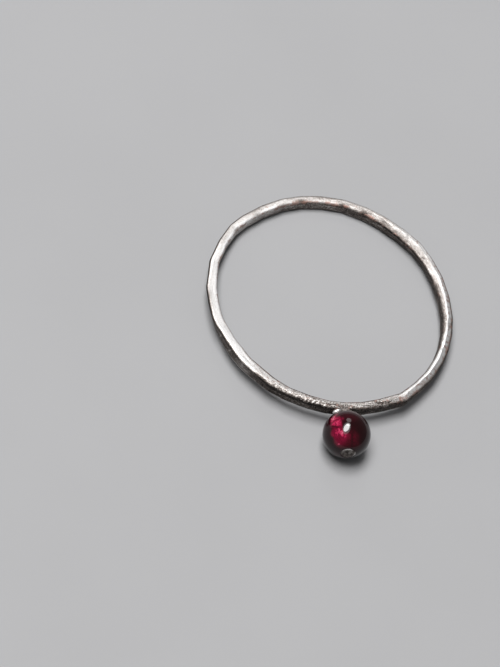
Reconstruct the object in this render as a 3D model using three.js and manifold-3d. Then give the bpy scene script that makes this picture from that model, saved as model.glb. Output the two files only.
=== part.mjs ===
// A stackable ring: a hammered silver wire band with a small round garnet bead on a post.
// Units are millimetres and +Z is up. The ring lies on its side as it rests by itself: on the bead,
// which points to -Y, and on the far side of the band. The origin is on the surface it lies on,
// under the middle of its box.

import * as THREE from "three";
import { mergeVertices } from "three/addons/utils/BufferGeometryUtils.js";
import Module from "manifold-3d";

// Band: round wire that was bent, soldered shut and hammered on a mandrel
const FINGER_HOLE_DIAMETER = 18.14;
const WIRE_THICKNESS = 0.86; // from the finger outwards
const WIRE_HEIGHT = 1.02; // along the finger
const OUTER_EDGE = 0.14; // rounding between the outer wall and the faces
const INNER_EDGE = 0.2; // rounding between the finger hole and the faces
const INNER_FALL = 0.07; // how far the top slopes down from its crown to the finger hole
const SPREAD = 0.3; // how strongly wire that was hammered thinner grew taller
const WORN_DEPTH = 0.03; // depth of the flat that is worn where the band rests

// Post: soldered to the outside of the band, its end peened over the bead
const POST_DIAMETER = 0.72;
const POST_AT = 0.7; // degrees round the band from the first section
const POST_LIFT = 4; // degrees out of the band's plane, upwards
const POST_LEAN = 5; // degrees out of the radial direction, clockwise seen from above
const HEAD_DIAMETER = 1.14;
const HEAD_DOME = 0.06;

// Solder: a fillet round the post's root and a drop beside it
const FILLET_WIDTH = 1.6; // along the band
const FILLET_HEIGHT = 0.76; // across the band
const FILLET_EDGE = 0.04; // thickness of the edge in which the fillet ends on the post
const SOLDER_CLEARANCE = 0.05; // between the solder and the bead
const DROP_DIAMETER = 0.46;
const DROP_AT = -3.9; // degrees round the band from the first section
const DROP_RISE = 0.16; // above the band's plane

// Bead: a drilled sphere
const BEAD_DIAMETER = 3.65;
const BEAD_GAP = 0.19; // from the band's outer wall to the bead
const HOLE_CLEARANCE = 0.04; // between the metal and the drilled stone
const COUNTERSINK_DEPTH = 0.14;

// How finely round forms are divided
const EDGE_STEPS = 3;
const POST_SIDES = 24;
const DROP_SIDES = 12;
const BEAD_SIDES = 16;
const BEAD_RINGS = 12;
const MERGE_DISTANCE = 1e-4;
const TILT_HALVINGS = 40;

// The band's hammered sections, anticlockwise from the bead as seen from above. Between two of them the
// metal is flat.
// at: degrees from the bead. inner: the finger hole's wall, outwards from the nominal hole, and thick:
// the wall's thickness, both as shares of WIRE_THICKNESS. rise: the section's height above the band's
// plane, and fall: the drop from the crown to the outer edge, both as shares of WIRE_HEIGHT.
// crown: where the top is highest, as a share of the thickness from the finger hole. innerLean and
// outerLean: how far the lower edge of either wall lies inside its upper edge, as a share of
// WIRE_THICKNESS.
const SECTION_COLUMNS = [
  "at", "inner", "thick", "rise", "crown", "fall", "innerLean", "outerLean",
];
const SECTIONS = [
  [0, 0.12, 0.85, 0, 0.55, 0.12, 0, 0],
  [9, 0.12, 0.85, 0.01, 0.58, 0.14, 0, 0],
  [18, 0.1, 0.9, 0, 0.58, 0.16, 0, 0],
  [30, 0.26, 1, -0.02, 0.45, 0.2, 0, 0],
  [40, 0.16, 0.89, 0, 0.35, 0.26, 0, 0],
  [50, 0.14, 0.91, 0.02, 0.36, 0.28, 0, 0],
  [59, 0.11, 0.95, 0.01, 0.34, 0.3, 0, 0.05],
  [67, 0.08, 0.99, -0.02, 0.28, 0.28, 0, 0.1],
  [76, 0.04, 1.03, 0.01, 0.42, 0.26, 0, 0.1],
  [85, 0.01, 1.07, 0.02, 0.48, 0.24, 0, 0.1],
  [96, -0.04, 1.12, 0, 0.52, 0.2, 0.05, 0.1],
  [107, -0.12, 1.22, 0.02, 0.62, 0.12, 0.15, 0.15],
  [117, -0.06, 1.2, -0.02, 0.6, 0.08, 0.2, 0.15],
  [126, -0.1, 1.33, 0.01, 0.64, 0.08, 0.25, 0.2],
  [136, -0.16, 1.23, 0, 0.66, 0.06, 0.2, 0.15],
  [147, -0.05, 1.02, 0.02, 0.68, 0.05, 0.05, 0.05],
  [156, 0.03, 0.94, -0.01, 0.72, 0.05, 0, 0],
  [167, 0.08, 0.85, 0.01, 0.68, 0.06, 0, 0],
  [178, 0.03, 0.83, 0, 0.66, 0.06, 0, 0],
  [188, 0.01, 0.82, -0.01, 0.7, 0.05, 0, 0],
  [198, -0.05, 0.83, 0.02, 0.7, 0.05, 0, 0],
  [210, -0.14, 0.9, 0, 0.58, 0.05, 0.05, 0],
  [221, -0.06, 0.88, 0.01, 0.6, 0.05, 0, 0],
  [229, 0.03, 0.91, -0.02, 0.66, 0.04, 0, 0.05],
  [240, -0.02, 0.92, 0.01, 0.62, 0.05, 0, 0.1],
  [252, 0.03, 0.96, -0.01, 0.66, 0.04, 0, 0.2],
  [260, -0.02, 0.95, 0.01, 0.64, 0.05, 0, 0.35],
  [267, 0, 1.08, 0, 0.7, 0.03, 0, 0.45],
  [276, 0.03, 1.02, 0.02, 0.68, 0.04, 0, 0.45],
  [283, 0.05, 1.04, -0.01, 0.72, 0.02, 0, 0.4],
  [287, 0.02, 1.03, -0.01, 0.74, 0.02, 0, 0.28],
  [291, -0.09, 1, 0, 0.76, 0.02, 0, 0.14],
  [297, -0.06, 0.95, 0.01, 0.76, 0.03, 0, 0.02],
  [303, -0.15, 1.09, 0, 0.78, 0.02, 0, 0],
  [309, -0.05, 1.01, 0.01, 0.76, 0.02, 0, 0],
  [315, -0.16, 1.07, -0.01, 0.76, 0.03, 0, 0],
  [324, -0.03, 1.02, 0.01, 0.72, 0.05, 0, 0],
  [333, 0.07, 0.86, 0, 0.62, 0.09, 0, 0],
  [343, 0.05, 0.87, 0.01, 0.56, 0.12, 0, 0],
  [352, 0.1, 0.85, 0, 0.56, 0.12, 0, 0],
].map((row) => Object.fromEntries(row.map((value, i) => [SECTION_COLUMNS[i], value])));

const wasm = await Module();
wasm.setup();

const radians = THREE.MathUtils.degToRad;
const beadRadius = BEAD_DIAMETER / 2;
const postRadius = POST_DIAMETER / 2;
const headRadius = HEAD_DIAMETER / 2;

// The sizes of one section in millimetres, worked out from its row.
function sectionSizes(row) {
  const inner = FINGER_HOLE_DIAMETER / 2 + row.inner * WIRE_THICKNESS;
  const thick = row.thick * WIRE_THICKNESS;
  const halfHeight = (WIRE_HEIGHT / 2) * row.thick ** -SPREAD;
  const middle = row.rise * WIRE_HEIGHT;
  return {
    inner,
    outer: inner + thick,
    crownAt: inner + row.crown * thick,
    top: middle + halfHeight,
    outerTop: middle + halfHeight - row.fall * WIRE_HEIGHT,
    innerTop: middle + halfHeight - INNER_FALL,
    bottom: middle - halfHeight,
    innerFoot: inner + row.innerLean * WIRE_THICKNESS,
    outerFoot: inner + thick - row.outerLean * WIRE_THICKNESS,
  };
}

// The outline of one section, x outwards from the ring's axis and y up: straight walls and rounded edges.
function sectionOutline(row) {
  const s = sectionSizes(row);
  const alongOuterTop = (x) =>
    THREE.MathUtils.mapLinear(x, s.crownAt, s.outer, s.top, s.outerTop);
  const alongInnerTop = (x) =>
    THREE.MathUtils.mapLinear(x, s.crownAt, s.inner, s.top, s.innerTop);
  const alongInnerWall = (y) =>
    THREE.MathUtils.mapLinear(y, s.innerTop, s.bottom, s.inner, s.innerFoot);
  const alongOuterWall = (y) =>
    THREE.MathUtils.mapLinear(y, s.outerTop, s.bottom, s.outer, s.outerFoot);
  const corners = [
    {
      from: [alongInnerWall(s.innerTop - INNER_EDGE), s.innerTop - INNER_EDGE],
      at: [s.inner, s.innerTop],
      to: [s.inner + INNER_EDGE, alongInnerTop(s.inner + INNER_EDGE)],
    },
    {
      from: [s.outer - OUTER_EDGE, alongOuterTop(s.outer - OUTER_EDGE)],
      at: [s.outer, s.outerTop],
      to: [alongOuterWall(s.outerTop - OUTER_EDGE), s.outerTop - OUTER_EDGE],
    },
    {
      from: [alongOuterWall(s.bottom + OUTER_EDGE), s.bottom + OUTER_EDGE],
      at: [s.outerFoot, s.bottom],
      to: [s.outerFoot - OUTER_EDGE, s.bottom],
    },
    {
      from: [s.innerFoot + INNER_EDGE, s.bottom],
      at: [s.innerFoot, s.bottom],
      to: [alongInnerWall(s.bottom + INNER_EDGE), s.bottom + INNER_EDGE],
    },
  ];
  const [innerTop, ...others] = corners.map((corner) =>
    new THREE.QuadraticBezierCurve(
      new THREE.Vector2(...corner.from),
      new THREE.Vector2(...corner.at),
      new THREE.Vector2(...corner.to),
    ).getPoints(EDGE_STEPS),
  );
  return [...innerTop, new THREE.Vector2(s.crownAt, s.top), ...others.flat()];
}

// A point of the band: angle in degrees from the bead, distance from the ring's axis, height.
function onRing(at, radius, height) {
  return new THREE.Vector3(
    radius * Math.sin(radians(at)),
    -radius * Math.cos(radians(at)),
    height,
  );
}

// The band's sections as closed loops of points, in the band's own plane.
function bandLoops() {
  return SECTIONS.map((row) =>
    sectionOutline(row).map((p) => onRing(row.at, p.x, p.y)),
  );
}

// A closed surface through loops of equally many points, where the last loop meets the first.
function loftLoops(loops) {
  const across = loops[0].length;
  const indices = [];
  loops.forEach((_, i) => {
    const next = (i + 1) % loops.length;
    for (let j = 0; j < across; j += 1) {
      const k = (j + 1) % across;
      const [a, b] = [i * across + j, i * across + k];
      const [c, d] = [next * across + j, next * across + k];
      indices.push(a, b, d, a, d, c);
    }
  });
  const geometry = new THREE.BufferGeometry().setFromPoints(loops.flat());
  geometry.setIndex(indices);
  return geometry;
}

// The geometry as a solid that can be joined and cut.
function toSolid(geometry) {
  const bare = new THREE.BufferGeometry();
  bare.setAttribute("position", geometry.getAttribute("position"));
  bare.setIndex(geometry.getIndex());
  const merged = mergeVertices(bare, MERGE_DISTANCE);
  return new wasm.Manifold(
    new wasm.Mesh({
      numProp: 3,
      vertProperties: new Float32Array(merged.getAttribute("position").array),
      triVerts: new Uint32Array(merged.getIndex().array),
    }),
  );
}

// The solid as a geometry with its own flat faces.
function toGeometry(solid) {
  const mesh = solid.getMesh();
  const geometry = new THREE.BufferGeometry();
  geometry.setAttribute(
    "position",
    new THREE.BufferAttribute(new Float32Array(mesh.vertProperties), 3),
  );
  geometry.setIndex(new THREE.BufferAttribute(new Uint32Array(mesh.triVerts), 1));
  const flat = geometry.toNonIndexed();
  flat.computeVertexNormals();
  return flat;
}

// The post's frame: it starts in the middle of the band's wall and points along its own Y, and its Z
// points up.
const bandAtPost = sectionSizes(SECTIONS[0]);
const postStart = onRing(POST_AT, (bandAtPost.inner + bandAtPost.outer) / 2, 0);
const postDirection = onRing(
  POST_AT - POST_LEAN,
  Math.cos(radians(POST_LIFT)),
  Math.sin(radians(POST_LIFT)),
);
const postSide = new THREE.Vector3(0, 0, 1).cross(postDirection).normalize().negate();
const postFrame = new THREE.Matrix4()
  .makeBasis(postSide, postDirection, postSide.clone().cross(postDirection))
  .setPosition(postStart);
const wallAlongPost = (bandAtPost.outer - bandAtPost.inner) / 2;
const beadAlongPost = wallAlongPost + BEAD_GAP + beadRadius;
const beadFrame = postFrame
  .clone()
  .setPosition(postStart.clone().addScaledVector(postDirection, beadAlongPost));

// How far along the drilled axis the bead's surface lies, at a distance from that axis.
function beadSurface(fromAxis) {
  return Math.sqrt(beadRadius ** 2 - fromAxis ** 2);
}

const holeRadius = postRadius + HOLE_CLEARANCE;
const mouthRadius = headRadius + HOLE_CLEARANCE;

// The bead: a sphere turned round its drilled axis, the hole widened to a cone at both ends.
function beadGeometry() {
  const mouth = beadSurface(mouthRadius);
  const first = Math.asin(mouthRadius / beadRadius);
  const profile = [
    new THREE.Vector2(holeRadius, COUNTERSINK_DEPTH - mouth),
    new THREE.Vector2(mouthRadius, -mouth),
  ];
  for (let i = 1; i < BEAD_RINGS; i += 1) {
    const angle = THREE.MathUtils.mapLinear(i, 0, BEAD_RINGS, first, Math.PI - first);
    profile.push(
      new THREE.Vector2(beadRadius * Math.sin(angle), -beadRadius * Math.cos(angle)),
    );
  }
  profile.push(
    new THREE.Vector2(mouthRadius, mouth),
    new THREE.Vector2(holeRadius, mouth - COUNTERSINK_DEPTH),
    new THREE.Vector2(holeRadius, COUNTERSINK_DEPTH - mouth),
  );
  return new THREE.LatheGeometry(profile, BEAD_SIDES);
}

// The post with its peened head: straight through the bead, then a cone that fills the hole's mouth
// and a low dome.
function postGeometry() {
  const rim = beadAlongPost + beadSurface(mouthRadius) - HOLE_CLEARANCE;
  const dome = new THREE.QuadraticBezierCurve(
    new THREE.Vector2(headRadius, rim),
    new THREE.Vector2(headRadius / 2, rim + HEAD_DOME),
    new THREE.Vector2(0, rim + HEAD_DOME),
  );
  const profile = [
    new THREE.Vector2(0, 0),
    new THREE.Vector2(postRadius, 0),
    new THREE.Vector2(postRadius, rim - COUNTERSINK_DEPTH),
    ...dome.getPoints(EDGE_STEPS),
  ];
  return new THREE.LatheGeometry(profile, POST_SIDES);
}

// The fillet: a hollow curve from the band's wall up the post.
function filletGeometry() {
  const wide = FILLET_WIDTH / 2;
  const narrow = postRadius + FILLET_EDGE;
  const reach = wallAlongPost + BEAD_GAP - SOLDER_CLEARANCE;
  const curve = new THREE.QuadraticBezierCurve(
    new THREE.Vector2(wide, wallAlongPost),
    new THREE.Vector2(narrow, wallAlongPost),
    new THREE.Vector2(narrow, reach),
  );
  const profile = [
    new THREE.Vector2(0, 0),
    new THREE.Vector2(wide, wallAlongPost / 2),
    ...curve.getPoints(EDGE_STEPS + 1),
    new THREE.Vector2(0, reach),
  ];
  const geometry = new THREE.LatheGeometry(profile, POST_SIDES);
  return geometry.scale(1, 1, FILLET_HEIGHT / FILLET_WIDTH);
}

// The drop: a ball of solder sunk in the band's outer wall, its clearance away from the bead.
function dropGeometry() {
  const drop = new THREE.SphereGeometry(DROP_DIAMETER / 2, DROP_SIDES, DROP_SIDES / 2);
  const beadCentre = new THREE.Vector3().setFromMatrixPosition(beadFrame);
  const wall = onRing(DROP_AT, bandAtPost.outer, DROP_RISE);
  const place = wall
    .sub(beadCentre)
    .setLength(beadRadius + SOLDER_CLEARANCE + DROP_DIAMETER / 2)
    .add(beadCentre);
  return drop.translate(place.x, place.y, place.z);
}

// The lowest height of any point once the band is tilted about X.
function lowest(points, tilt) {
  return Math.min(...points.map((p) => p.z * Math.cos(tilt) - p.y * Math.sin(tilt)));
}

// The tilt, found by halving a range, at which the worn underside of the band's far side lies as low
// as the bead.
function restTilt(bandPoints, beadPoints) {
  let [low, high] = [0, Math.PI / 4];
  for (let i = 0; i < TILT_HALVINGS; i += 1) {
    const tilt = (low + high) / 2;
    if (lowest(bandPoints, tilt) + WORN_DEPTH > lowest(beadPoints, tilt)) low = tilt;
    else high = tilt;
  }
  return (low + high) / 2;
}

const loops = bandLoops();
const stone = beadGeometry();
const corners = stone.getAttribute("position");
const beadPoints = Array.from({ length: corners.count }, (_, i) =>
  new THREE.Vector3().fromBufferAttribute(corners, i).applyMatrix4(beadFrame),
);
const tilt = restTilt(loops.flat(), beadPoints);

// The surface that the ring lies on, as a slab in the band's own frame that is far larger than the ring.
function surfaceSolid() {
  const size = 4 * FINGER_HOLE_DIAMETER;
  const slab = new THREE.BoxGeometry(size, size, size);
  slab.translate(0, 0, lowest(beadPoints, tilt) - size / 2);
  slab.rotateX(tilt);
  return toSolid(slab);
}

// The silver: band, solder and post joined, and worn flat where the band rests.
function bandGeometry() {
  const solid = toSolid(loftLoops(loops))
    .subtract(surfaceSolid())
    .add(toSolid(filletGeometry().applyMatrix4(postFrame)))
    .add(toSolid(postGeometry().applyMatrix4(postFrame)))
    .add(toSolid(dropGeometry()));
  return toGeometry(solid);
}

const silver = new THREE.MeshStandardMaterial({
  color: 0xcfcac4,
  roughness: 0.38,
  metalness: 1,
});
const garnet = new THREE.MeshStandardMaterial({
  color: 0x5a0a1c,
  roughness: 0.08,
  metalness: 0,
});

const band = new THREE.Mesh(bandGeometry(), silver);
band.name = "hammered_band";

const bead = new THREE.Mesh(stone, garnet);
bead.name = "garnet_bead";
bead.position.setFromMatrixPosition(beadFrame);
bead.quaternion.setFromRotationMatrix(beadFrame);

// The band's own frame, tilted as it rests, inside a frame whose origin is under the middle of the box.
const lyingRing = new THREE.Group();
lyingRing.add(band, bead);
lyingRing.rotation.x = -tilt;

const ring = new THREE.Group();
ring.add(lyingRing);
const box = new THREE.Box3().setFromObject(ring, true);
const middle = box.getCenter(new THREE.Vector3());
lyingRing.position.set(-middle.x, -middle.y, -box.min.z);

export default ring;
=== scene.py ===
"""A stacking ring lying on its side: hammered silver wire that carries a drilled garnet on a riveted post.

Lengths are millimetres until they reach a mesh, where MM turns them into metres. Shapes are worked out in
the band's own plane, z = 0, with the bead towards -y. RestPose then tilts them as the ring lies: on the
bead and on the far side of the band.
"""

import logging
import math
from dataclasses import dataclass
from enum import Enum
from typing import NamedTuple

import bmesh
import bpy
import numpy as np
from mathutils import Matrix, Vector

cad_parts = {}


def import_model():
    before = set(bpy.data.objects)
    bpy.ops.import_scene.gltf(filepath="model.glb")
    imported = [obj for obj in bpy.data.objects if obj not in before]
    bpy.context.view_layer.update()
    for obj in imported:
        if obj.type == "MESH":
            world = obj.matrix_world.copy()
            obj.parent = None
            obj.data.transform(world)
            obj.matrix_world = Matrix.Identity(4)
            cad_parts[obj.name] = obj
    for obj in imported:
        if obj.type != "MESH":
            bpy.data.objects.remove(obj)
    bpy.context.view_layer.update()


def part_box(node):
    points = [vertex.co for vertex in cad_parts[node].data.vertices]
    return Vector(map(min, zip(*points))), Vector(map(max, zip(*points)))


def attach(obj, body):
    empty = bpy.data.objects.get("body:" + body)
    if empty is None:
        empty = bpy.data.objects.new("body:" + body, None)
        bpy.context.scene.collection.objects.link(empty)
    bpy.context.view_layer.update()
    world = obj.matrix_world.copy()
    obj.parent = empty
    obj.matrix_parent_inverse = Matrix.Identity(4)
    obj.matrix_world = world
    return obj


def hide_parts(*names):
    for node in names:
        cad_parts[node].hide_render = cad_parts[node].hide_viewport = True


MM = 0.001
PER_MM = 1 / MM
SEED = 568
BODY = "root"
POLE_GAP = 2e-8
WORN_DEPTH = 0.03
TILT_HALVINGS = 40
Socket = bpy.types.NodeSocket
Random = np.random.Generator
Pair = tuple[float, float]
Triple = tuple[float, float, float]
log = logging.getLogger("stacking_ring")


class Node(str, Enum):
    """The frame's nodes that the dressed pieces stand for."""

    BAND = "hammered_band"
    BEAD = "garnet_bead"


class Slot(str, Enum):
    """The record's material slots."""

    SILVER = "silver"
    GARNET = "garnet"


class Side(Enum):
    """The sides of the wire, each with its outward direction as (away from the finger, up)."""

    TOP = (0.0, 1.0)
    OUTSIDE = (1.0, 0.0)
    UNDERSIDE = (0.0, -1.0)
    INSIDE = (-1.0, 0.0)


class Section(NamedTuple):
    """One hammered section of the band, as shares of the wire's thickness or height.

    at is in degrees from the bead. inner, thick and crown lie across the wire, rise and fall along its
    height, and a lean is how far the foot of a wall is drawn in.
    """

    at: float
    inner: float
    thick: float
    rise: float
    crown: float
    fall: float
    inner_lean: float = 0.0
    outer_lean: float = 0.0


class Mark(NamedTuple):
    """A dent, nick or ridge: degrees from the bead, share across its side, size in mm, turn, depth in mm.

    across runs from the finger outwards on the top and underside, and from the top downwards on a wall.
    A negative depth is a ridge. tone is how much darker the colour is in it; a negative tone is brighter,
    and on the nicks this brightening is a painted glint.
    """

    side: Side
    at: float
    across: float
    length: float
    width: float
    turn: float
    depth: float
    tone: float = 0.0


class Wear(NamedTuple):
    """How strongly the finish's patterns and its reddish stains show at degrees from the bead.

    grit is for the patterns on the top. The stains have a strength on the top's inner and outer half, on
    the walls and along the finger's upper edge.
    """

    at: float
    grit: float
    inner_rust: float
    outer_rust: float
    wall_rust: float
    edge_rust: float


class Patch(NamedTuple):
    """A darker or brighter place, of oxide and of painted light and shade: degrees from the bead, place round
    the section, extents, amount.

    around is 0 at the finger's upper edge, 1 at the outer upper edge, 2 and 3 at the lower edges outside
    and inside. A negative amount is a brighter colour.
    """

    at: float
    around: float
    long: float
    wide: float
    amount: float


SECTIONS = (
    Section(0, 0.12, 0.85, 0, 0.55, 0.12),
    Section(9, 0.12, 0.85, 0.01, 0.58, 0.14),
    Section(18, 0.1, 0.9, 0, 0.58, 0.16),
    Section(30, 0.26, 1, -0.02, 0.45, 0.2),
    Section(40, 0.16, 0.89, 0, 0.35, 0.26),
    Section(50, 0.14, 0.91, 0.02, 0.4, 0.28),
    Section(59, 0.11, 0.95, 0.01, 0.41, 0.3, 0, 0.05),
    Section(67, 0.08, 0.99, -0.02, 0.38, 0.28, 0, 0.1),
    Section(76, 0.04, 1.03, 0.01, 0.42, 0.26, 0, 0.1),
    Section(85, 0.01, 1.07, 0.02, 0.48, 0.24, 0, 0.1),
    Section(96, -0.04, 1.12, 0, 0.52, 0.2, 0.05, 0.1),
    Section(107, -0.12, 1.22, 0.02, 0.62, 0.12, 0.15, 0.15),
    Section(117, -0.06, 1.2, -0.02, 0.6, 0.08, 0.2, 0.15),
    Section(126, -0.1, 1.33, 0.01, 0.64, 0.08, 0.25, 0.2),
    Section(136, -0.16, 1.23, 0, 0.66, 0.06, 0.2, 0.15),
    Section(147, -0.05, 1.02, 0.02, 0.68, 0.05, 0.05, 0.05),
    Section(156, 0.03, 0.94, -0.01, 0.72, 0.05),
    Section(167, 0.08, 0.85, 0.01, 0.68, 0.06),
    Section(178, 0.03, 0.83, 0, 0.66, 0.06),
    Section(188, 0.01, 0.82, -0.01, 0.7, 0.05),
    Section(198, -0.05, 0.83, 0.02, 0.7, 0.05),
    Section(210, -0.14, 0.9, 0, 0.58, 0.05, 0.05, 0),
    Section(221, -0.06, 0.88, 0.01, 0.6, 0.05),
    Section(229, 0.03, 0.91, -0.02, 0.66, 0.04, 0, 0.05),
    Section(240, -0.02, 0.92, 0.01, 0.62, 0.05, 0, 0.1),
    Section(252, 0.03, 0.96, -0.01, 0.66, 0.04, 0, 0.2),
    Section(260, -0.02, 0.95, 0.01, 0.64, 0.05, 0, 0.35),
    Section(267, 0, 1.08, 0, 0.7, 0.03, 0, 0.45),
    Section(276, 0.03, 1.02, 0.02, 0.68, 0.04, 0, 0.45),
    Section(283, 0.05, 1.04, -0.01, 0.72, 0.02, 0, 0.4),
    Section(287, 0.02, 1.03, -0.01, 0.74, 0.02, 0, 0.28),
    Section(291, -0.09, 1, 0, 0.76, 0.02, 0, 0.14),
    Section(297, -0.06, 0.95, 0.01, 0.76, 0.03, 0, 0.02),
    Section(303, -0.15, 1.09, 0, 0.78, 0.02),
    Section(309, -0.05, 1.01, 0.01, 0.76, 0.02),
    Section(315, -0.16, 1.07, -0.01, 0.76, 0.03),
    Section(324, -0.03, 1.02, 0.01, 0.72, 0.05),
    Section(333, 0.07, 0.86, 0, 0.62, 0.09),
    Section(343, 0.05, 0.87, 0.01, 0.56, 0.12),
    Section(352, 0.1, 0.85, 0, 0.56, 0.12),
)

WEAR = (
    Wear(0, 1.25, 1.0, 1.3, 0.5, 2.2),
    Wear(20, 1.2, 0.9, 1.2, 0.5, 2.2),
    Wear(40, 0.6, 0.2, 2.2, 0.25, 1.2),
    Wear(70, 0.5, 0.2, 2.6, 0.3, 0.7),
    Wear(110, 0.35, 0.1, 2.4, 0.2, 0.8),
    Wear(130, 0.4, 0.1, 0.8, 0.2, 1.4),
    Wear(160, 0.45, 0.5, 0.3, 0.3, 2.4),
    Wear(185, 0.45, 1.0, 0.5, 0.3, 3.0),
    Wear(215, 0.4, 0.5, 0.4, 0.3, 3.0),
    Wear(240, 0.35, 0.1, 0.1, 0.1, 3.0),
    Wear(300, 0.4, 0.1, 0.0, 0.1, 2.6),
    Wear(320, 0.65, 1.0, 0.3, 0.1, 2.2),
    Wear(342, 1.2, 1.0, 0.9, 0.2, 2.2),
    Wear(360, 1.25, 1.0, 1.3, 0.5, 2.2),
)

MARKS = (
    Mark(Side.TOP, 18, 0.6, 0.34, 0.06, 8, 0.05, 0.45),
    Mark(Side.TOP, 15.8, 0.4, 0.16, 0.05, -12, 0.03, 0.3),
    Mark(Side.TOP, 31, 0.75, 0.2, 0.22, 60, -0.03),
    Mark(Side.TOP, 66, 0.55, 0.16, 0.3, 10, 0.045, 0.1),
    Mark(Side.TOP, 70, 0.3, 0.14, 0.2, -15, -0.03),
    Mark(Side.TOP, 81, 0.7, 0.2, 0.24, 20, 0.035, 0.1),
    Mark(Side.TOP, 103, 0.2, 0.36, 0.16, 0, 0.035, 0.2),
    Mark(Side.TOP, 119, 0.35, 0.1, 0.12, 35, 0.03, 0.1),
    Mark(Side.TOP, 132, 0.6, 0.1, 0.14, -25, 0.03, 0.1),
    Mark(Side.TOP, 144.5, 0.45, 0.32, 0.16, 12, 0.04, 0.15),
    Mark(Side.TOP, 189, 0.2, 0.3, 0.08, 0, 0.02, 0.2),
    Mark(Side.TOP, 214, 0.15, 0.22, 0.1, 10, 0.03, 0.2),
    Mark(Side.TOP, 229, 0.12, 0.24, 0.08, 0, 0.03, 0.2),
    Mark(Side.TOP, 309, 0.45, 0.3, 0.08, 5, 0.015),
    # The nicks from here to 352.6 degrees: their negative tones are painted glints where the burrs catch the
    # light.
    Mark(Side.TOP, 333.6, 0.76, 0.045, 0.12, 30, -0.005, -0.15),
    Mark(Side.TOP, 337.4, 0.8, 0.045, 0.12, 34, -0.008, -0.2),
    Mark(Side.TOP, 341.4, 0.84, 0.045, 0.1, 34, -0.008, -0.25),
    Mark(Side.TOP, 342.2, 0.88, 0.04, 0.1, 34, 0.006, 0.15),
    Mark(Side.TOP, 343, 0.88, 0.04, 0.11, 34, -0.012, -0.3),
    Mark(Side.TOP, 344.0, 0.88, 0.045, 0.13, 36, 0.008, 0.2),
    Mark(Side.TOP, 344.9, 0.86, 0.04, 0.17, 36, -0.013, -0.45),
    Mark(Side.TOP, 345.7, 0.84, 0.04, 0.14, 34, 0.008, 0.22),
    Mark(Side.TOP, 346.4, 0.9, 0.038, 0.12, 30, -0.01, -0.35),
    Mark(Side.TOP, 347.4, 0.98, 0.04, 0.1, 30, -0.01, -0.3),
    Mark(Side.TOP, 348.6, 0.86, 0.06, 0.12, 34, 0.01, 0.15),
    Mark(Side.TOP, 350.3, 0.88, 0.04, 0.12, 40, -0.01, -0.35),
    Mark(Side.TOP, 351.3, 0.9, 0.04, 0.12, 34, 0.006, 0.15),
    Mark(Side.TOP, 352.6, 0.96, 0.04, 0.1, 32, -0.01, -0.3),
    Mark(Side.OUTSIDE, 300, 0.5, 0.03, 0.2, 25, 0.03, -0.4),
    Mark(Side.OUTSIDE, 292, 0.4, 0.05, 0.2, 15, 0.02, -0.2),
    Mark(Side.OUTSIDE, 45, 0.45, 0.5, 0.12, 4, 0.02, 0.1),
    Mark(Side.OUTSIDE, 150, 0.5, 0.4, 0.2, 0, 0.02, 0.1),
    Mark(Side.OUTSIDE, 215, 0.5, 0.5, 0.2, 6, 0.02, 0.1),
    Mark(Side.INSIDE, 170, 0.5, 0.6, 0.16, 0, 0.015),
    Mark(Side.INSIDE, 240, 0.5, 0.6, 0.16, 0, 0.015),
    Mark(Side.UNDERSIDE, 60, 0.5, 0.5, 0.2, 10, 0.02, 0.1),
    Mark(Side.UNDERSIDE, 250, 0.5, 0.5, 0.2, -10, 0.02, 0.1),
)

# Many of these patches are painted light and shade: the brighter inner walls at 172 and 225 degrees are
# painted light, the dark line along the finger's upper edge at 352 degrees is painted shadow, and the  darker
# crowns near 8 and 94 degrees flatten highlights as painted shade; the others are oxide.
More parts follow.
